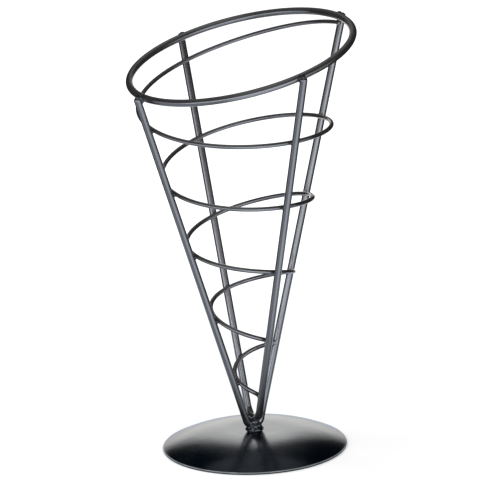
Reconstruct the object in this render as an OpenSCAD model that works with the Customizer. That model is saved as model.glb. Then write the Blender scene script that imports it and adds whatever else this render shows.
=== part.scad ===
/* [Base] */
// Diameter of the domed disc that the cone stands on, mm
base_d = 101; // [90:0.1:130]
// Height of the flat seat in the disc's middle above the table, mm
base_h = 10; // [8:0.5:12]
// Diameter of the flat seat that the legs are welded to, mm
seat_d = 28; // [20:1:34]
// Thickness of the disc's sheet metal, mm
sheet_t = 1.4; // [1:0.1:2]
// Width of the flat foot at the disc's edge, mm
foot_w = 1.2; // [0.8:0.1:2]

/* [Rim] */
// Outer diameter of the round rim, mm
rim_d = 127; // [115:0.5:140]
// Height of the rim's centre above the table, mm
rim_h = 219.5; // [190:0.5:240]
// Slope of the rim, low at the front, degrees
rim_tilt = 13; // [8:0.5:16]
// Diameter of the rim's wire, mm
rim_wire_d = 4; // [3:0.1:5]

/* [Legs] */
// Diameter of the wire that the four legs are bent from, mm
leg_wire_d = 4; // [3.5:0.1:5]
// How far the rounded leg tips stand above the middle of the rim's wire, mm
tip_rise = 1; // [0:0.1:2]

/* [Spiral] */
// Diameter of the thin wire that winds down inside the legs, mm
spiral_wire_d = 2.4; // [2:0.1:3]
// Turns of the spiral, counted from the rear leg's top, in quarters
spiral_turns = 4.75; // [3.75:0.25:5]
// Height of the spiral's lower end above the table, mm
spiral_end_h = 30.6; // [28:0.1:36]
// Share of the rim's slope that the top turn follows
slope_share = 0.89; // [0.4:0.01:0.95]
// How far the hand-wound turns stray up and down, mm
turn_stray = 1; // [0:0.1:1.5]

/* [Hidden] */
coat = [0.05, 0.055, 0.065];
$fn = 96;

// Clearances that the welds bridge
weld_gap = 0.05;
spiral_gap = 0.05;

// Wire radii
rim_wire_r = rim_wire_d / 2;
leg_r = leg_wire_d / 2;
spiral_r = spiral_wire_d / 2;
rim_r = rim_d / 2 - rim_wire_r;

// Disc: a flat seat, then an arc down to a rounded edge
edge_r = sheet_t / 2;
edge_middle = base_d / 2 - edge_r;
foot_r = edge_middle - foot_w;
seat_r = seat_d / 2;
dome_rise = base_h - sheet_t;
function shoulder_r(reach) = (pow(reach - seat_r, 2) + pow(dome_rise, 2)) / (2 * dome_rise);

// Point of the rim's centre line above an azimuth's side: 1 rear, -1 front, 0 either side
function rim_reach(side) = rim_r * (side == 0 ? 1 : cos(rim_tilt));
function rim_height(side) = rim_h + side * rim_r * sin(rim_tilt);

// Lean of a leg from upright, so that it touches the rim's outside and points at the base centre
leg_to_rim = leg_r + rim_wire_r + weld_gap;
function leg_lean(side) =
    atan(rim_reach(side) / rim_height(side))
    + asin(leg_to_rim / norm([rim_reach(side), rim_height(side)]));
rear_lean = leg_lean(1);
front_lean = leg_lean(-1);
side_lean = leg_lean(0);

// Length of a leg's straight centre line, from the legs' meeting point to the middle of its round tip
function leg_length(side, lean) = (rim_height(side) + tip_rise) / cos(lean) - leg_r;

// Bends: the wire swells a little where it is bent, and each straight leg laps into its bend
bend_swell = 0.1;
bend_wire_r = leg_r + bend_swell;
bend_lap = 0.2;

// Height of the lowest point of each bend's centre line
low_bend_h = base_h + bend_wire_r + weld_gap;
high_bend_h = low_bend_h + 2 * bend_wire_r + weld_gap;

// Outward slope of the legs' cone at any azimuth, as a tangent
mean_slope = (tan(rear_lean) + tan(front_lean) + 2 * tan(side_lean)) / 4;
skew_slope = (tan(rear_lean) - tan(front_lean)) / 2;
oval_slope = (tan(rear_lean) + tan(front_lean) - 2 * tan(side_lean)) / 4;
function leg_slope(turn) = mean_slope + skew_slope * cos(turn) + oval_slope * cos(2 * turn);

// Heights along the spiral, by the angle wound from the rear leg
start_clearance = 0.6;
start_h = rim_height(1) - rim_wire_r - spiral_r - start_clearance;
start_lift = 3.4;
start_lift_span = 80;
end_lift = 4.8;
end_lift_span = 180;
slope_lag = 10;
slope_fade = 410;
stray_period = 270;
stray_from = 153;
stray_start_span = 60;
slope_height = slope_share * rim_r * sin(rim_tilt);
coil_low_h = spiral_end_h - end_lift;
spacing = (start_h - coil_low_h - slope_height * cos(slope_lag) - start_lift) / spiral_turns;
function coil_h(a) = coil_low_h + spacing * (spiral_turns - a / 360);
function slope_h(a) = slope_height * exp(-a / slope_fade) * cos(a - slope_lag);
function bump_h(a, lift, span) = lift * exp(-pow(a / span, 2));
function lift_h(a) =
    bump_h(a, start_lift, start_lift_span) + bump_h(a - spiral_turns * 360, end_lift, end_lift_span);
function stray_h(a) =
    (turn_stray - bump_h(a, turn_stray, stray_start_span)) * cos(360 * (a - stray_from) / stray_period);
function spiral_h(a) = coil_h(a) + slope_h(a) + lift_h(a) + stray_h(a);

// Centre line of the spiral, its outside just clear of the legs' insides
crossing_allowance = 1.04;
inset = (leg_r + spiral_r + spiral_gap) * crossing_allowance;
function spiral_reach(a) = spiral_h(a) * leg_slope(a) - inset;
function spiral_point(a) =
    [-spiral_reach(a) * sin(a), spiral_reach(a) * cos(a), spiral_h(a)];

// Rings of points round the spiral's wire
spiral_step = 7.5;
spiral_sides = 10;
start_angle = -spiral_step / 2;
end_overrun = 15;
end_angle = spiral_turns * 360 + end_overrun;
ring_count = ceil((end_angle - start_angle) / spiral_step) + 1;
ring_spacing = (end_angle - start_angle) / (ring_count - 1);
function unit(v) = v / norm(v);
function ring_angle(i) = start_angle + i * ring_spacing;
function along(a) = unit(spiral_point(a + 0.5) - spiral_point(a - 0.5));
function outward(a) =
    let (radial = [-sin(a), cos(a), 0], t = along(a))
    unit(radial - (radial * t) * t);
function wire_ring(a) =
    let (out = outward(a), across = cross(along(a), out), centre = spiral_point(a))
    [for (k = [0 : spiral_sides - 1])
        let (turn = 360 * k / spiral_sides)
        centre + spiral_r * (cos(turn) * out + sin(turn) * across)];
spiral_points = [for (i = [0 : ring_count - 1]) each wire_ring(ring_angle(i))];
function at(i, k) = i * spiral_sides + k % spiral_sides;
spiral_faces = concat(
    [[for (k = [0 : spiral_sides - 1]) at(0, k)]],
    [for (i = [0 : ring_count - 2], k = [0 : spiral_sides - 1]) [at(i, k), at(i + 1, k), at(i + 1, k + 1)]],
    [for (i = [0 : ring_count - 2], k = [0 : spiral_sides - 1]) [at(i, k), at(i + 1, k + 1), at(i, k + 1)]],
    [[for (k = [spiral_sides - 1 : -1 : 0]) at(ring_count - 1, k)]]
);

// Weld sizes, and a turn of each rim bead about its own middle
foot_weld_spread = 3.2;
foot_weld_neck = 0.6;
foot_weld_dip = 1;
rim_weld_r = 1.8;
rim_weld_rise = 1.7;
leg_tip_span = 4 * leg_wire_d;
bead_turn = [35, 20, 50];

// Region under a flat seat and an arc that falls to the dome's foot at a reach
module dome_region(reach, top) {
    square([seat_r, top]);
    intersection() {
        translate([seat_r, top - shoulder_r(reach)]) circle(r = shoulder_r(reach));
        translate([seat_r, 0]) square([reach - seat_r, top]);
    }
}

// Half section of the base disc
module disc_section() {
    difference() {
        union() {
            dome_region(edge_middle, base_h);
            translate([edge_middle, edge_r]) circle(r = edge_r);
        }
        dome_region(foot_r, dome_rise);
    }
}

module disc_solid() {
    rotate_extrude() disc_section();
}

// One wire bent to a V in the XZ plane, its legs' lines meeting at the origin
module bent_wire(left_lean, right_lean, bend_h, left_end, right_end) {
    half_angle = (left_lean + right_lean) / 2;
    skew = (right_lean - left_lean) / 2;
    bend_r = bend_h / (cos(skew) / sin(half_angle) - 1);
    middle = bend_r / sin(half_angle);
    straight_from = bend_r / tan(half_angle) - bend_lap;
    translate([middle * sin(skew), 0, middle * cos(skew)])
        rotate([90, 0, 0])
            rotate([0, 0, 180 + left_lean])
                rotate_extrude(angle = 180 - left_lean - right_lean)
                    translate([bend_r, 0]) circle(r = bend_wire_r);
    rotate([0, -left_lean, 0]) straight_leg(straight_from, left_end);
    rotate([0, right_lean, 0]) straight_leg(straight_from, right_end);
}

// Straight leg with a round tip, turned about its own centre line
module straight_leg(from, to) {
    rotate_extrude()
        intersection() {
            union() {
                translate([0, from]) square([leg_r, to - from]);
                translate([0, to]) circle(r = leg_r);
            }
            translate([0, from]) square([leg_r, to]);
        }
}

module front_rear_solid() {
    rotate([0, 0, 90])
        bent_wire(front_lean, rear_lean, low_bend_h, leg_length(-1, front_lean), leg_length(1, rear_lean));
}

module side_solid() {
    bent_wire(side_lean, side_lean, high_bend_h, leg_length(0, side_lean), leg_length(0, side_lean));
}

module rim_solid() {
    translate([0, 0, rim_h])
        rotate([rim_tilt, 0, 0])
            rotate_extrude() translate([rim_r, 0]) circle(r = rim_wire_r);
}

// Bead of weld metal in the groove between a leg's tip and the rim
module rim_bead(side, lean, turn) {
    leg_end = leg_length(side, lean);
    difference() {
        rotate([0, 0, turn])
            translate([rim_reach(side), 0, rim_height(side)])
                rotate([0, lean, 0])
                    translate([leg_to_rim / 2, 0, rim_weld_rise])
                        rotate(bead_turn) sphere(r = rim_weld_r);
        rim_solid();
        rotate([0, 0, turn])
            rotate([0, lean, 0]) straight_leg(leg_end - leg_tip_span, leg_end);
    }
}

module base_disc() {
    color(coat) disc_solid();
}

module rim_ring() {
    color(coat) rim_solid();
}

module front_rear_legs() {
    color(coat) front_rear_solid();
}

module side_legs() {
    color(coat) side_solid();
}

module spiral_wire() {
    color(coat) polyhedron(points = spiral_points, faces = spiral_faces, convexity = 12);
}

module base_weld() {
    color(coat)
        difference() {
            translate([0, 0, base_h - foot_weld_dip])
                cylinder(
                    r1 = leg_r + foot_weld_spread,
                    r2 = leg_r + foot_weld_neck,
                    h = leg_wire_d + foot_weld_dip
                );
            disc_solid();
            front_rear_solid();
            side_solid();
        }
}

module rim_welds() {
    color(coat) {
        rim_bead(1, rear_lean, 90);
        rim_bead(-1, front_lean, 270);
        rim_bead(0, side_lean, 0);
        rim_bead(0, side_lean, 180);
    }
}

base_disc();
rim_ring();
front_rear_legs();
side_legs();
spiral_wire();
base_weld();
rim_welds();
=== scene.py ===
# Wire serving cone on a domed disc: finishes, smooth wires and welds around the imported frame
import math
import bmesh
import bpy
from mathutils import Matrix, Vector, noise


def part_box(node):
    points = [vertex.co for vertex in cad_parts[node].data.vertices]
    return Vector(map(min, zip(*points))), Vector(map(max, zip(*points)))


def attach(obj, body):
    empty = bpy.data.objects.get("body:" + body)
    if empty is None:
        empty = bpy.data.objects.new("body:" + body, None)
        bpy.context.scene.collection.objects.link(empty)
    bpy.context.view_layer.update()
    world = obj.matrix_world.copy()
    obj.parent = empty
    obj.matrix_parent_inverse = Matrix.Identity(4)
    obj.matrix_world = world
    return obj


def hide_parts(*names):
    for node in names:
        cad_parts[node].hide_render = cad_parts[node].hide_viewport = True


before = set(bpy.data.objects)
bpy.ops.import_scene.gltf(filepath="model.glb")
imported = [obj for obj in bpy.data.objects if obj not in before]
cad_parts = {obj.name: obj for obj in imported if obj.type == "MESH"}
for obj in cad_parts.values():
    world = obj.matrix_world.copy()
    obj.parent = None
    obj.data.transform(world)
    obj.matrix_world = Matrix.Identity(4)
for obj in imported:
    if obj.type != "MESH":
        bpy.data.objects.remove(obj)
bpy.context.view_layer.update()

scene = bpy.context.scene
mm = 0.001
upAxis = Vector((0, 0, 1))


def report(stage):
    print("cone:", stage)


# Camera

cameraLook = {
    "turn": 60.3763,  # degrees round the cone, from looking along +Y
    "tilt": 15.7416,  # degrees downwards
    "distance": 2.3735,
    "aimHeight": 0.110,
    "pitch": 0.1721,  # pitch, yaw and roll in degrees, after the aim
    "yaw": 0.0996,
    "roll": 2.06815,
    "lens": 328.4,  # millimetres, as the sensor's width is
    "sensor": 36.0,
}


def turned(vector, axis, degrees):
    return Matrix.Rotation(math.radians(degrees), 3, axis) @ vector


def addCamera(look):
    tilt = math.radians(look["tilt"])
    forward = Vector((0, math.cos(tilt), -math.sin(tilt)))
    right = Vector((1, 0, 0))
    up = right.cross(forward)
    place = Vector((0, 0, look["aimHeight"])) - forward * look["distance"]
    forward, up = turned(forward, right, look["pitch"]), turned(up, right, look["pitch"])
    forward, right = turned(forward, up, look["yaw"]), turned(right, up, look["yaw"])
    right, up = turned(right, forward, look["roll"]), turned(up, forward, look["roll"])
    axes = Matrix((right, up, -forward)).transposed().to_4x4()
    data = bpy.data.cameras.new("photoCamera")
    data.lens = look["lens"]
    data.sensor_width = look["sensor"]
    camera = bpy.data.objects.new("photoCamera", data)
    scene.collection.objects.link(camera)
    aroundCone = Matrix.Rotation(math.radians(look["turn"]), 4, "Z")
    camera.matrix_world = aroundCone @ Matrix.Translation(place) @ axes
    scene.camera = camera


addCamera(cameraLook)
scene.view_settings.view_transform = "Standard"
report("camera placed")


# Node helpers

def newNodes(owner):
    owner.use_nodes = True
    tree = owner.node_tree
    tree.nodes.clear()
    return tree


def node(tree, kind, inputs=None, **options):
    made = tree.nodes.new(kind)
    for name, value in options.items():
        setattr(made, name, value)
    for name, value in (inputs or {}).items():
        socket = made.inputs[name]
        if isinstance(value, bpy.types.NodeSocket):
            tree.links.new(value, socket)
        else:
            socket.default_value = value
    return made


def maths(tree, operation, first, second=0.0, clamp=False):
    made = node(tree, "ShaderNodeMath", {0: first, 1: second}, operation=operation, use_clamp=clamp)
    return made.outputs[0]


def times(tree, first, second):
    return maths(tree, "MULTIPLY", first, second)


def either(tree, share, first, second):
    # the first value where the share is 0, the second where it is 1
    inputs = {"Factor": share, "A": first, "B": second}
    return node(tree, "ShaderNodeMix", inputs, data_type="FLOAT").outputs[0]


def ramped(tree, value, low, high, toLow=0.0, toHigh=1.0):
    inputs = {"Value": value, "From Min": low, "From Max": high, "To Min": toLow, "To Max": toHigh}
    return node(tree, "ShaderNodeMapRange", inputs, interpolation_type="SMOOTHSTEP").outputs[0]


# Floor, backdrop and lamps

studio = {
    "floorColour": (0.8, 0.8, 0.8, 1),
    "floorGlow": (0.24, 0.6),  # added where the floor is seen, near and far, so that it shows white
    "floorGlowReach": (0.12, 0.45),
    "floorSize": 8.0,
    "fill": 0.74,  # even light from all round
    "gloss": {  # what the gloss sees, as brightness, white being 1
        "floorTint": (0.88, 0.96, 1.08, 1),
        "floorBehind": 0.9, "aheadEdge": (-0.5, 0.0),  # where the floor behind turns into the floor ahead
        "floorLeft": 0.55, "floorRight": 0.26, "acrossEdge": (-0.5, 0.9),
        "near": 0.75, "nearReach": (0.05, 0.15),  # ahead, the floor is darker close to the disc
        "pool": 1.0, "poolTurn": 26, "poolEdge": (0.68, 0.98),  # bright pool on the floor ahead
        "poolNear": 0.1, "poolReach": (0.04, 0.12),  # dimmer close to the disc
        "left": 0.31, "leftEdge": (0.3, 0.9), "leftTop": (0.05, 0.32),  # low glow at the left
        "top": 0.33, "topEdge": (0.45, 0.8), "topSide": (0.12, 0.5),  # strip over the top, front to back
        "room": 0.08,
    },
    "cardSteps": 48,
    "cards": {  # low curved cards that only the gloss sees
        "frontCard": {
            "turn": 0, "reach": 1.0, "height": 0.5, "tint": (0.94, 0.985, 1.04, 1),
            "low": 2.7, "lowFade": (0.0, 0.5), "slant": (0.0, 0.0),  # brightness low down, fading upwards
            "high": 0.3, "highSide": (0.7, 1.0),  # haze all the way up, fading sideways
            "rightEdge": (0.5, 0.97), "leftEdge": (-0.75, -1.0), "sideShare": 0.45,  # dimmer past the edges
            "foot": (0.0, 0.15, 0.5),  # dimmer at the floor
        },
        "backCard": {
            "turn": 180, "reach": 0.25, "height": 0.38, "tint": (1.02, 1.0, 0.97, 1),
            "low": 1.75, "lowFade": (0.176, 0.316), "slant": (0.42, 0.38),
            "high": 0.22, "highSide": (0.05, 0.5),
            "rightEdge": (0.3, 0.85), "leftEdge": (-0.35, -0.9), "sideShare": 0.03,
            "foot": (0.0, 0.06, 0.6),
        },
    },
    "lampAim": 0.12,
    "lamps": {  # degrees from the camera's side and upwards, metres, watts
        "leftSoftbox": {"offset": -105, "height": 42, "distance": 1.2, "size": 1.2, "power": 9.0},
        "rightSoftbox": {"offset": 50, "height": 50, "distance": 1.2, "size": 0.8, "power": 3.5},
    },
}
cameraSide = math.radians(cameraLook["turn"] - 90)
towardsCamera = Vector((math.cos(cameraSide), math.sin(cameraSide), 0))
towardsRight = Vector((-math.sin(cameraSide), math.cos(cameraSide), 0))


def rayKinds(tree):
    path = node(tree, "ShaderNodeLightPath")
    gloss = maths(tree, "MAXIMUM", path.outputs["Is Glossy Ray"], path.outputs["Is Transmission Ray"])
    return path.outputs["Is Camera Ray"], gloss


def vectorMaths(tree, operation, *vectors):
    return node(tree, "ShaderNodeVectorMath", dict(enumerate(vectors)), operation=operation)


def dot(tree, direction, axis):
    return vectorMaths(tree, "DOT_PRODUCT", direction, axis).outputs["Value"]


def objectPlace(tree):
    return node(tree, "ShaderNodeTexCoord").outputs["Object"]


def heightOf(tree, place):
    return node(tree, "ShaderNodeSeparateXYZ", {0: place}).outputs["Z"]


def floorTone(tree, look):
    place = objectPlace(tree)
    reach = vectorMaths(tree, "LENGTH", place).outputs["Value"]
    direction = vectorMaths(tree, "NORMALIZE", place).outputs["Vector"]
    poolTurn = cameraSide + math.radians(look["poolTurn"])
    towardsPool = (math.cos(poolTurn), math.sin(poolTurn), 0)
    across = dot(tree, direction, towardsRight)
    beside = ramped(tree, across, *look["acrossEdge"], look["floorLeft"], look["floorRight"])
    pool = ramped(tree, dot(tree, direction, towardsPool), *look["poolEdge"], 0.0, look["pool"])
    pool = times(tree, pool, ramped(tree, reach, *look["poolReach"], look["poolNear"], 1.0))
    ahead = maths(tree, "ADD", beside, pool)
    ahead = times(tree, ahead, ramped(tree, reach, *look["nearReach"], look["near"], 1.0))
    isAhead = ramped(tree, dot(tree, direction, towardsCamera), *look["aheadEdge"])
    return either(tree, isAhead, look["floorBehind"], ahead)


def addFloor(look):
    bm = bmesh.new()
    bmesh.ops.create_grid(bm, x_segments=1, y_segments=1, size=look["floorSize"] / 2)
    floor = meshObject("studioFloor", bm)
    material = bpy.data.materials.new("studioFloor")
    tree = newNodes(material)
    camera, gloss = rayKinds(tree)
    diffuse = node(tree, "ShaderNodeBsdfDiffuse", {"Color": look["floorColour"]})
    reach = vectorMaths(tree, "LENGTH", objectPlace(tree)).outputs["Value"]
    glow = times(tree, camera, ramped(tree, reach, *look["floorGlowReach"], *look["floorGlow"]))
    shine = times(tree, gloss, floorTone(tree, look["gloss"]))
    glow = node(tree, "ShaderNodeEmission", {"Strength": glow})
    shine = node(tree, "ShaderNodeEmission", {"Color": look["gloss"]["floorTint"], "Strength": shine})
    # the gloss sees the shine alone
    matt = node(tree, "ShaderNodeMixShader", {0: gloss, 1: diffuse.outputs[0]})
    total = node(tree, "ShaderNodeAddShader", {0: matt.outputs[0], 1: glow.outputs[0]})
    total = node(tree, "ShaderNodeAddShader", {0: total.outputs[0], 1: shine.outputs[0]})
    node(tree, "ShaderNodeOutputMaterial", {"Surface": total.outputs[0]})
    material.cycles.emission_sampling = "NONE"
    floor.data.materials.append(material)


def worldTone(tree, look):
    direction = node(tree, "ShaderNodeTexCoord").outputs["Generated"]
    height = heightOf(tree, direction)
    right = dot(tree, direction, towardsRight)
    left = times(tree, right, -1.0)
    strip = ramped(tree, maths(tree, "ABSOLUTE", right), *look["topSide"], look["top"], 0.0)
    strip = times(tree, strip, ramped(tree, height, *look["topEdge"]))
    low = ramped(tree, height, *look["leftTop"], look["left"], 0.0)
    glow = times(tree, ramped(tree, left, *look["leftEdge"]), low)
    return maths(tree, "ADD", glow, maths(tree, "ADD", strip, look["room"]))


def addCard(name, look, steps):
    bm = bmesh.new()
    start = Matrix.Rotation(math.radians(look["turn"]), 3, "Z") @ towardsRight * -look["reach"]
    top = bmesh.ops.extrude_vert_indiv(bm, verts=[bm.verts.new(start)])
    top["verts"][0].co.z = look["height"]
    line = bm.verts[:] + bm.edges[:]
    bmesh.ops.spin(bm, geom=line, cent=(0, 0, 0), axis=upAxis, angle=math.pi, steps=steps)
    card = meshObject(name, bm)
    material = bpy.data.materials.new(name)
    tree = newNodes(material)
    gloss = rayKinds(tree)[1]
    place = objectPlace(tree)
    right = maths(tree, "DIVIDE", dot(tree, place, towardsRight), look["reach"])
    toRight, toLeft = look["slant"]  # how much sooner the brightness fades towards the sides
    slant = maths(tree, "MAXIMUM", times(tree, right, toRight), times(tree, right, -toLeft))
    level = heightOf(tree, place)
    tone = ramped(tree, maths(tree, "ADD", level, slant), *look["lowFade"], look["low"], 0.0)
    tone = times(tree, tone, ramped(tree, level, *look["foot"], 1.0))
    for edge in (look["rightEdge"], look["leftEdge"]):
        tone = times(tree, tone, ramped(tree, right, *edge, 1.0, look["sideShare"]))
    haze = ramped(tree, maths(tree, "ABSOLUTE", right), *look["highSide"], look["high"], 0.0)
    tone = times(tree, maths(tree, "ADD", tone, haze), gloss)
    glow = node(tree, "ShaderNodeEmission", {"Color": look["tint"], "Strength": tone})
    node(tree, "ShaderNodeOutputMaterial", {"Surface": glow.outputs[0]})
    material.cycles.emission_sampling = "NONE"
    card.data.materials.append(material)
    card.visible_camera = card.visible_diffuse = card.visible_shadow = card.visible_transmission = False


def addWorld(look):
    world = bpy.data.worlds.new("studioWorld")
    scene.world = world
    tree = newNodes(world)
    camera, gloss = rayKinds(tree)
    unseen = either(tree, gloss, look["fill"], worldTone(tree, look["gloss"]))
    strength = either(tree, camera, unseen, 1.0)  # the camera sees plain white
    world.cycles.sampling_method = "NONE"
    sky = node(tree, "ShaderNodeBackground", {"Strength": strength})
    node(tree, "ShaderNodeOutputWorld", {"Surface": sky.outputs[0]})


def addLamps(look):
    for name, lamp in look["lamps"].items():
        turn = cameraSide + math.radians(lamp["offset"])
        rise = math.radians(lamp["height"])
        towards = Vector((math.cos(turn) * math.cos(rise), math.sin(turn) * math.cos(rise), math.sin(rise)))
        data = bpy.data.lights.new(name, "AREA")
        data.shape = "SQUARE"
        data.size = lamp["size"]
        data.energy = lamp["power"]
        light = bpy.data.objects.new(name, data)
        scene.collection.objects.link(light)
        light.location = upAxis * look["lampAim"] + towards * lamp["distance"]
        light.rotation_euler = towards.to_track_quat("Z", "Y").to_euler()
        light.visible_glossy = False  # the painted studio is what the gloss shows


# Mesh helpers

def meshObject(name, bm, sharpAngle=None):
    mesh = bpy.data.meshes.new(name)
    bm.to_mesh(mesh)
    bm.free()
    mesh.shade_smooth()
    if sharpAngle:
        mesh.set_sharp_from_angle(angle=math.radians(sharpAngle))
    made = bpy.data.objects.new(name, mesh)
    scene.collection.objects.link(made)
    return made


def onlyVerts(geometry):
    return [g for g in geometry if isinstance(g, bmesh.types.BMVert)]


def onlyEdges(geometry):
    return [g for g in geometry if isinstance(g, bmesh.types.BMEdge)]


addFloor(studio)
addWorld(studio)
for cardName, cardLook in studio["cards"].items():
    addCard(cardName, cardLook, studio["cardSteps"])
addLamps(studio)
report("studio lit")


# Finishes: black powder coat on sheet, wire and weld

finishes = {
    "coated_sheet": {
        "dark": (0.0010, 0.0026, 0.0046, 1), "light": (0.0018, 0.0036, 0.0058, 1),
        "roughness": (0.155, 0.205), "tint": (0.80, 0.89, 1.0, 1), "ior": 1.7,
        "peel": (1500, 0.04), "wave": (70, 0.22), "speck": 0.08,
    },
    "coated_wire": {
        "dark": (0.027, 0.0262, 0.0262, 1), "light": (0.037, 0.036, 0.036, 1),
        "roughness": (0.15, 0.21), "tint": (0.955, 0.95, 0.99, 1), "ior": 2.7,
        "peel": (1100, 0.012), "wave": (120, 0.10), "speck": 0.02,
    },
    "coated_weld": {
        "dark": (0.003, 0.0036, 0.005, 1), "light": (0.008, 0.009, 0.011, 1),
        "roughness": (0.09, 0.17), "tint": (0.85, 0.92, 1.0, 1), "ior": 2.0,
        "peel": (1300, 0.05), "wave": (420, 0.22), "speck": 0.06,
    },
    "thin_coat_and_painted_highlight_edge": {  # the disc's cut edge, where the coat is thin over the steel; its light colour is also a painted highlight line along the edge
        "dark": (0.22, 0.235, 0.26, 1), "light": (0.36, 0.38, 0.41, 1),
        "roughness": (0.3, 0.42), "tint": (0.90, 0.95, 1.0, 1), "ior": 1.7, "metal": 0.2,
        "peel": (1500, 0.04), "wave": (160, 0.15), "speck": 0.06,
    },
}
coatGrain = {  # the same for every finish
    "peel": (2.0, 0.5), "wave": (3.0, 0.45), "blotch": (5.0, 0.6),  # detail and roughness of each pattern
    "blotchScale": 0.6,  # against the waves
    "blotchEdge": (0.38, 0.66), "glossEdge": (0.34, 0.68),
    "speckScale": 0.32,  # against the peel
    "speckEdge": (0.04, 0.16), "speckDulling": 0.35, "speckStrength": 0.5,
    "waveDepth": 0.6 * mm, "peelDepth": 0.25 * mm, "speckDepth": 0.12 * mm,
}


def noisePattern(tree, place, scale, grain):
    inputs = {"Vector": place, "Scale": scale, "Detail": grain[0], "Roughness": grain[1]}
    return node(tree, "ShaderNodeTexNoise", inputs).outputs["Fac"]


def bumped(tree, height, strength, depth, below=None):
    inputs = {"Height": height, "Strength": strength, "Distance": depth}
    if below:
        inputs["Normal"] = below
    return node(tree, "ShaderNodeBump", inputs).outputs[0]


def coatMaterial(name, look, grain):
    material = bpy.data.materials.new(name)
    tree = newNodes(material)
    place = objectPlace(tree)
    peelScale, peelStrength = look["peel"]
    waveScale, waveStrength = look["wave"]
    peel = noisePattern(tree, place, peelScale, grain["peel"])
    wave = noisePattern(tree, place, waveScale, grain["wave"])
    blotch = noisePattern(tree, place, waveScale * grain["blotchScale"], grain["blotch"])
    dots = node(tree, "ShaderNodeTexVoronoi", {"Vector": place, "Scale": peelScale * grain["speckScale"]})
    speck = ramped(tree, dots.outputs["Distance"], *grain["speckEdge"], look["speck"], 0.0)
    shade = maths(tree, "ADD", ramped(tree, blotch, *grain["blotchEdge"]), speck, clamp=True)
    shades = {"Factor": shade, 6: look["dark"], 7: look["light"]}  # 6 and 7 are the mix node's two colours
    colour = node(tree, "ShaderNodeMix", shades, data_type="RGBA").outputs[2]
    gloss = ramped(tree, blotch, *grain["glossEdge"], *look["roughness"])
    gloss = maths(tree, "ADD", gloss, times(tree, speck, grain["speckDulling"]))
    broad = bumped(tree, wave, waveStrength, grain["waveDepth"])
    fine = bumped(tree, peel, peelStrength, grain["peelDepth"], broad)
    nubs = bumped(tree, speck, grain["speckStrength"], grain["speckDepth"], fine)
    shader = node(tree, "ShaderNodeBsdfPrincipled", {
        "Base Color": colour, "Roughness": gloss, "Normal": nubs,
        "IOR": look["ior"], "Specular Tint": look["tint"], "Metallic": look.get("metal", 0.0),
    })
    node(tree, "ShaderNodeOutputMaterial", {"Surface": shader.outputs[0]})
    return material


coats = {name: coatMaterial(name, look, coatGrain) for name, look in finishes.items()}


def finishPiece(piece, slotName, *stoodFor):
    piece.data.materials.clear()
    piece.data.materials.append(coats[slotName])
    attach(piece, "root")
    if stoodFor:
        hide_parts(*stoodFor)


# Wires that stay as the frame has them

for name in ("rim_ring", "front_rear_legs", "side_legs"):
    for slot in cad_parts[name].material_slots:
        slot.material = coats["coated_wire"]
report("finishes made")


# Domed disc

discShape = {
    "seat": 14 * mm,  # flat middle
    "sheet": 1.4 * mm,
    "foot": 1.2 * mm,  # flat ring that it stands on
    "seatSteps": 8,
    "domeSteps": 40,
    "edgeSteps": 12,
    "roundSteps": 224,
    "sharpAngle": 50,
    "paintedHighlightFrom": 0.3, "paintedHighlightTo": 0.86,  # the band of the rounded edge, by how far its faces point up (1 facing straight up), that gets the lighter edge finish as a painted highlight line
    "unevenness": 0.05 * mm,  # slow waves that a stamped sheet keeps
    "waveLength": 34 * mm,
    "waveStart": (3.1, 7.7),
    "calmFoot": 8 * mm, "calmMiddle": 9 * mm,  # the waves fade over these widths
    "mergeWithin": 0.01 * mm,
}


def arcOfVerts(bm, start, centre, degrees, steps):
    angle = math.radians(degrees)
    made = bmesh.ops.spin(bm, geom=[start], cent=centre, axis=(0, 1, 0), angle=angle, steps=steps)
    return onlyVerts(made["geom_last"])[0]


def lineOfVerts(bm, start, end, steps):
    first = start.co.copy()
    for i in range(steps):
        start = bmesh.ops.extrude_vert_indiv(bm, verts=[start])["verts"][0]
        start.co = first.lerp(Vector(end), (i + 1) / steps)
    return start


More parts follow.
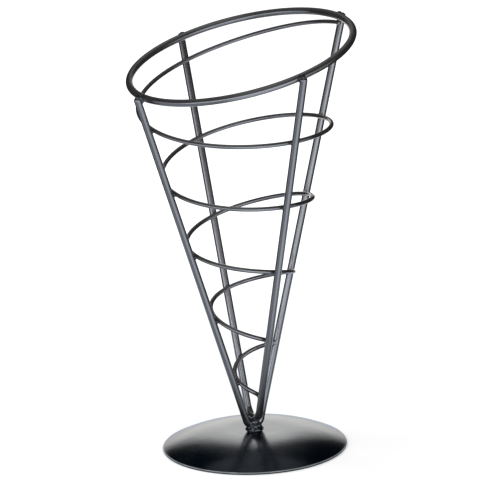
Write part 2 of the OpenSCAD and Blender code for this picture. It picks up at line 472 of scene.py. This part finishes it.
def makeDisc(shape):
    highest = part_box("base_disc")[1]
    height, radius, edge, seat = highest.z, highest.x, shape["sheet"] / 2, shape["seat"]
    edgeAt, footAt, rise = radius - edge, radius - edge - shape["foot"], height - shape["sheet"]
    domeR = ((edgeAt - seat) ** 2 + rise ** 2) / (2 * rise)
    hollowR = ((footAt - seat) ** 2 + rise ** 2) / (2 * rise)
    domeTurn = math.asin((edgeAt - seat) / domeR)
    hollowTurn = math.asin((footAt - seat) / hollowR)
    bm = bmesh.new()
    point = lineOfVerts(bm, bm.verts.new((0, 0, height)), (seat, 0, height), shape["seatSteps"])
    point = arcOfVerts(bm, point, (seat, 0, height - domeR), math.degrees(domeTurn), shape["domeSteps"])
    across, upward = edge * math.sin(domeTurn), edge * math.cos(domeTurn)
    point = lineOfVerts(bm, point, (edgeAt + across, 0, edge + upward), 1)
    point = arcOfVerts(bm, point, (edgeAt, 0, edge), 180 - math.degrees(domeTurn), shape["edgeSteps"])
    point = lineOfVerts(bm, point, (footAt, 0, 0), 1)
    point = arcOfVerts(bm, point, (seat, 0, rise - hollowR), -math.degrees(hollowTurn), shape["domeSteps"])
    lineOfVerts(bm, point, (0, 0, rise), shape["seatSteps"])
    bmesh.ops.spin(bm, geom=bm.verts[:] + bm.edges[:], cent=(0, 0, 0), axis=upAxis, angle=math.tau,
                   steps=shape["roundSteps"], use_merge=True)
    bmesh.ops.remove_doubles(bm, verts=bm.verts[:], dist=shape["mergeWithin"])
    waveStart = Vector((*shape["waveStart"], 0))
    for vert in bm.verts:
        reach = math.hypot(vert.co.x, vert.co.y)
        share = min(1.0, max(0.0, (footAt - reach) / shape["calmFoot"]))
        share *= min(1.0, reach / shape["calmMiddle"])
        spot = Vector((vert.co.x, vert.co.y, 0)) / shape["waveLength"]
        vert.co.z += shape["unevenness"] * share * noise.noise(spot + waveStart)
    bmesh.ops.recalc_face_normals(bm, faces=bm.faces[:])
    disc = meshObject("domedDisc", bm, shape["sharpAngle"])
    finishPiece(disc, "coated_sheet", "base_disc")
    disc.data.materials.append(coats["thin_coat_and_painted_highlight_edge"])
    # faces in that band of the rounded edge get the lighter finish: a painted highlight line along the
    # disc's edge
    for face in disc.data.polygons:
        outside = math.hypot(face.center.x, face.center.y) > edgeAt
        face.material_index = int(outside and shape["paintedHighlightFrom"] < face.normal.z < shape["paintedHighlightTo"])


makeDisc(discShape)
report("disc stamped")


# Legs, as lines that the welds and the spiral lie against

legShape = {
    "wire": 2.0 * mm,  # this and the other wires by their radius
    "rimWire": 2.0 * mm,
    "rimRadius": 61.5 * mm,
    "rimHeight": 219.5 * mm,
    "rimTilt": math.radians(13),
    "weldGap": 0.05 * mm,
}
legSides = {"rear": 0, "left": 90, "front": 180, "right": 270}  # degrees of turn from the rear leg


def rimPoint(turn):
    angle = math.radians(turn) + math.pi / 2
    flat = Vector((math.cos(angle), math.sin(angle), 0)) * legShape["rimRadius"]
    tilted = Matrix.Rotation(legShape["rimTilt"], 3, "X") @ flat
    return tilted + Vector((0, 0, legShape["rimHeight"]))


def legLean(turn):
    point = rimPoint(turn)
    reach = math.hypot(point.x, point.y)
    apart = legShape["wire"] + legShape["rimWire"] + legShape["weldGap"]
    return math.atan2(reach, point.z) + math.asin(apart / math.hypot(reach, point.z))


def legDirection(turn):
    angle = math.radians(turn) + math.pi / 2
    lean = legLean(turn)
    return Vector((math.cos(angle) * math.sin(lean), math.sin(angle) * math.sin(lean), math.cos(lean)))


# Spiral

spiralShape = {
    "wire": 1.2 * mm,
    "turns": 4.75,
    "endHeight": 30.6 * mm,
    "slopeShare": 0.89,  # of the rim's slope, fading as the turns go down
    "slopeLag": 10,
    "slopeFade": 410,
    "startLift": (3.4 * mm, 80),  # how far and over how many degrees
    "endLift": (4.8 * mm, 180),
    "stray": 1.0 * mm,  # how far the turns wander up and down
    "strayPeriod": 270,
    "strayFrom": 153,
    "strayStart": 60,
    "startClearance": 0.6 * mm,
    "gap": 0.05 * mm,
    "allowance": 1.04,  # the legs lean, so the wire stands off a little more than the radii
    "lead": 3.75,  # degrees that the wire starts before the rear leg
    "overrun": 15,  # degrees that it ends past the right leg
    "step": 2.5,
    "sides": 20,
    "endRounding": ((0.93, 0.16), (0.78, 0.26)),  # of the radius: a loop's size and its step outwards
}


def bump(turn, lift, span):
    return lift * math.exp(-(turn / span) ** 2)


def spiralHeight(turn):
    shape = spiralShape
    lift = legShape["rimRadius"] * math.sin(legShape["rimTilt"])
    slope = shape["slopeShare"] * lift
    start = legShape["rimHeight"] + lift - legShape["rimWire"] - shape["wire"] - shape["startClearance"]
    lag = math.radians(shape["slopeLag"])
    low = shape["endHeight"] - shape["endLift"][0]
    spacing = (start - low - slope * math.cos(lag) - shape["startLift"][0]) / shape["turns"]
    height = low + spacing * (shape["turns"] - turn / 360)
    height += slope * math.exp(-turn / shape["slopeFade"]) * math.cos(math.radians(turn) - lag)
    height += bump(turn, *shape["startLift"]) + bump(turn - shape["turns"] * 360, *shape["endLift"])
    stray = shape["stray"] - bump(turn, shape["stray"], shape["strayStart"])
    return height + stray * math.cos(math.tau * (turn - shape["strayFrom"]) / shape["strayPeriod"])


slopes = {side: math.tan(legLean(turn)) for side, turn in legSides.items()}
meanSlope = sum(slopes.values()) / 4
skewSlope = (slopes["rear"] - slopes["front"]) / 2
ovalSlope = (slopes["rear"] + slopes["front"] - slopes["left"] - slopes["right"]) / 4


def spiralPoint(turn):
    angle = math.radians(turn)
    height = spiralHeight(turn)
    slope = meanSlope + skewSlope * math.cos(angle) + ovalSlope * math.cos(2 * angle)
    inset = (legShape["wire"] + spiralShape["wire"] + spiralShape["gap"]) * spiralShape["allowance"]
    reach = height * slope - inset
    return Vector((-reach * math.sin(angle), reach * math.cos(angle), height))


def spiralAlong(turn):
    return (spiralPoint(turn + 0.5) - spiralPoint(turn - 0.5)).normalized()


def wireFrame(turn):
    along = spiralAlong(turn)
    angle = math.radians(turn)
    out = Vector((-math.sin(angle), math.cos(angle), 0))
    out = (out - along * out.dot(along)).normalized()
    axes = Matrix((out, along.cross(out), along)).transposed().to_4x4()
    return Matrix.Translation(spiralPoint(turn)) @ axes


def makeSpiral(shape):
    first = -shape["lead"]
    last = shape["turns"] * 360 + shape["overrun"]
    count = round((last - first) / shape["step"])
    turns = [first + (last - first) * i / count for i in range(count + 1)]
    bm = bmesh.new()
    circle = bmesh.ops.create_circle(bm, segments=shape["sides"], radius=shape["wire"])["verts"]
    ring = list({edge for vert in circle for edge in vert.link_edges})
    place = wireFrame(turns[0])
    bmesh.ops.transform(bm, matrix=place, verts=circle)
    ring = roundEnd(bm, ring, place, shape["wire"], -1)
    for turn in turns[1:]:
        nextPlace = wireFrame(turn)
        ring = growLoop(bm, ring, nextPlace @ place.inverted())
        place = nextPlace
    roundEnd(bm, ring, place, shape["wire"], 1)
    bmesh.ops.recalc_face_normals(bm, faces=bm.faces[:])
    spiral = meshObject("spiralWire", bm)
    finishPiece(spiral, "coated_wire", "spiral_wire")


def growLoop(bm, ring, change):
    made = bmesh.ops.extrude_edge_only(bm, edges=ring)["geom"]
    fresh = set(onlyVerts(made))
    bmesh.ops.transform(bm, matrix=change, verts=list(fresh))
    return [edge for edge in onlyEdges(made) if edge.verts[0] in fresh and edge.verts[1] in fresh]


def roundEnd(bm, ring, place, radius, way):
    # a cut end: two shrinking loops, then a lid. Returns the loop that the wire goes on from
    loop, size = ring, 1.0
    for share, depth in spiralShape["endRounding"]:
        onward = Matrix.Translation(upAxis * way * radius * depth)
        shrunk = Matrix.Diagonal((share / size, share / size, 1, 1))
        loop = growLoop(bm, loop, place @ onward @ shrunk @ place.inverted())
        place = place @ onward
        size = share
    bmesh.ops.edgeloop_fill(bm, edges=loop)
    return ring


makeSpiral(spiralShape)
report("spiral wound")


# Welds

weldShape = {
    "spot": (1.8 * mm, 1.45 * mm, 0.9 * mm),  # along the spiral, along the leg, through both
    "rimBead": (2.05 * mm, 1.5 * mm, 1.65 * mm),  # along the rim, along the leg, out from the rim
    "rimFillet": (1.9 * mm, 1.8 * mm, 1.0 * mm),
    "beadUp": 1.12 * mm, "filletDown": 0.7 * mm,  # along the leg, from where it meets the rim
    "rimVoxel": 0.22 * mm, "rimSmoothing": 3,
    "lumps": 0.12,
    "lumpSize": 1.3 * mm,
    "footBlobs": (  # height over the disc, half sizes, lumps
        (-0.2 * mm, (5.35 * mm, 5.0825 * mm, 2.6 * mm), 0.07),
        (2.2 * mm, (3.9 * mm, 4.2 * mm, 2.5 * mm), 0.13),
        (4.3 * mm, (2.9 * mm, 2.9 * mm, 1.6 * mm), 0.16),
    ),
    "drops": 9,  # small drops of weld round the foot
    "dropStagger": 14,  # degrees
    "dropReach": (3.2 * mm, 0.7 * mm),  # each with how much it varies
    "dropSize": (1.25 * mm, 0.5 * mm),
    "dropSquash": 0.9,
    "dropHeight": 1.1 * mm,
    "footVoxel": 0.28 * mm, "footSmoothing": 7,
    "seeds": {"bead": 31, "fillet": 47, "foot": 71, "drop": 80},
}


def addBlob(bm, place, radii, lumpiness, seed, subdivisions=3):
    made = bmesh.ops.create_icosphere(bm, subdivisions=subdivisions, radius=1.0)["verts"]
    for vert in made:
        spot = Vector([part * radius for part, radius in zip(vert.co, radii)]) / weldShape["lumpSize"]
        apart = Vector((seed * 3.7, seed * 1.9, seed * 5.3))  # so that no two blobs are alike
        vert.co *= 1 + lumpiness * noise.noise(spot + apart)
    sized = Matrix.Diagonal((*radii, 1))
    bmesh.ops.transform(bm, matrix=place @ sized, verts=made)


def axesAt(point, first, second):
    third = first.cross(second).normalized()
    second = third.cross(first).normalized()
    axes = Matrix((first, second, third)).transposed().to_4x4()
    return Matrix.Translation(point) @ axes


def makeSpotWelds(shape):
    bm = bmesh.new()
    for i in range(round(spiralShape["turns"] * 4) + 1):  # at each leg that the spiral passes
        turn = 90 * i
        point = spiralPoint(turn)
        leg = legDirection(turn)
        onLeg = leg * point.dot(leg)
        towards = (onLeg - point).normalized()
        contact = point + towards * spiralShape["wire"]
        addBlob(bm, axesAt(contact, spiralAlong(turn), leg), shape["spot"], shape["lumps"], i)
    welds = meshObject("spiralSpotWelds", bm)
    finishPiece(welds, "coated_weld")


def makeRimWelds(shape):
    bm = bmesh.new()
    seeds = shape["seeds"]
    for i, turn in enumerate(legSides.values()):
        point = rimPoint(turn)
        leg = legDirection(turn)
        onLeg = leg * point.dot(leg)
        towards = (onLeg - point).normalized()
        along = towards.cross(leg).normalized()
        middle = point + towards * (legShape["rimWire"] + legShape["weldGap"] / 2)
        bead = axesAt(middle + leg * shape["beadUp"], along, leg)
        addBlob(bm, bead, shape["rimBead"], shape["lumps"], seeds["bead"] + i)
        fillet = axesAt(middle - leg * shape["filletDown"], along, leg)
        addBlob(bm, fillet, shape["rimFillet"], shape["lumps"], seeds["fillet"] + i)
    welds = remeshed("rimWelds", bm, shape["rimVoxel"], shape["rimSmoothing"])
    finishPiece(welds, "coated_weld", "rim_welds")


def remeshed(name, bm, voxel, smoothing):
    # overlapping blobs become one skin
    rough = meshObject(name + "Rough", bm)
    skin = rough.modifiers.new("skin", "REMESH")
    skin.mode = "VOXEL"
    skin.voxel_size = voxel
    evening = rough.modifiers.new("evening", "SMOOTH")
    evening.iterations = smoothing
    evening.factor = 0.5
    bpy.context.view_layer.update()
    graph = bpy.context.evaluated_depsgraph_get()
    mesh = bpy.data.meshes.new_from_object(rough.evaluated_get(graph))
    bpy.data.objects.remove(rough)
    mesh.name = name
    mesh.shade_smooth()
    made = bpy.data.objects.new(name, mesh)
    scene.collection.objects.link(made)
    return made


def varied(usual, change, i, pace, row):
    # the usual value of drop i, with a steady chance change. Each use has its own pace and row
    return usual + change * noise.noise(Vector((i * pace, row, 0)))


def makeFootWeld(shape):
    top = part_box("base_disc")[1].z
    seeds = shape["seeds"]
    bm = bmesh.new()
    for i, (height, radii, lumps) in enumerate(shape["footBlobs"]):
        addBlob(bm, Matrix.Translation((0, 0, top + height)), radii, lumps, seeds["foot"] + i, 4)
    for i in range(shape["drops"]):
        angle = math.radians(varied(360 * i / shape["drops"], shape["dropStagger"], i, 1.7, 0))
        reach = varied(*shape["dropReach"], i, 2.3, 5)
        size = varied(*shape["dropSize"], i, 3.1, 9)
        spot = Vector((reach * math.cos(angle), reach * math.sin(angle), top + shape["dropHeight"]))
        radii = (size, size, size * shape["dropSquash"])
        addBlob(bm, Matrix.Translation(spot), radii, shape["lumps"], seeds["drop"] + i)
    weld = remeshed("footWeld", bm, shape["footVoxel"], shape["footSmoothing"])
    for vert in weld.data.vertices:  # the weld ends inside the sheet and doesn't come through below
        vert.co.z = max(vert.co.z, top - discShape["sheet"] / 2)
    finishPiece(weld, "coated_weld", "base_weld")


makeSpotWelds(weldShape)
makeRimWelds(weldShape)
makeFootWeld(weldShape)
report("welds laid")


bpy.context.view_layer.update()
report("sizes written")
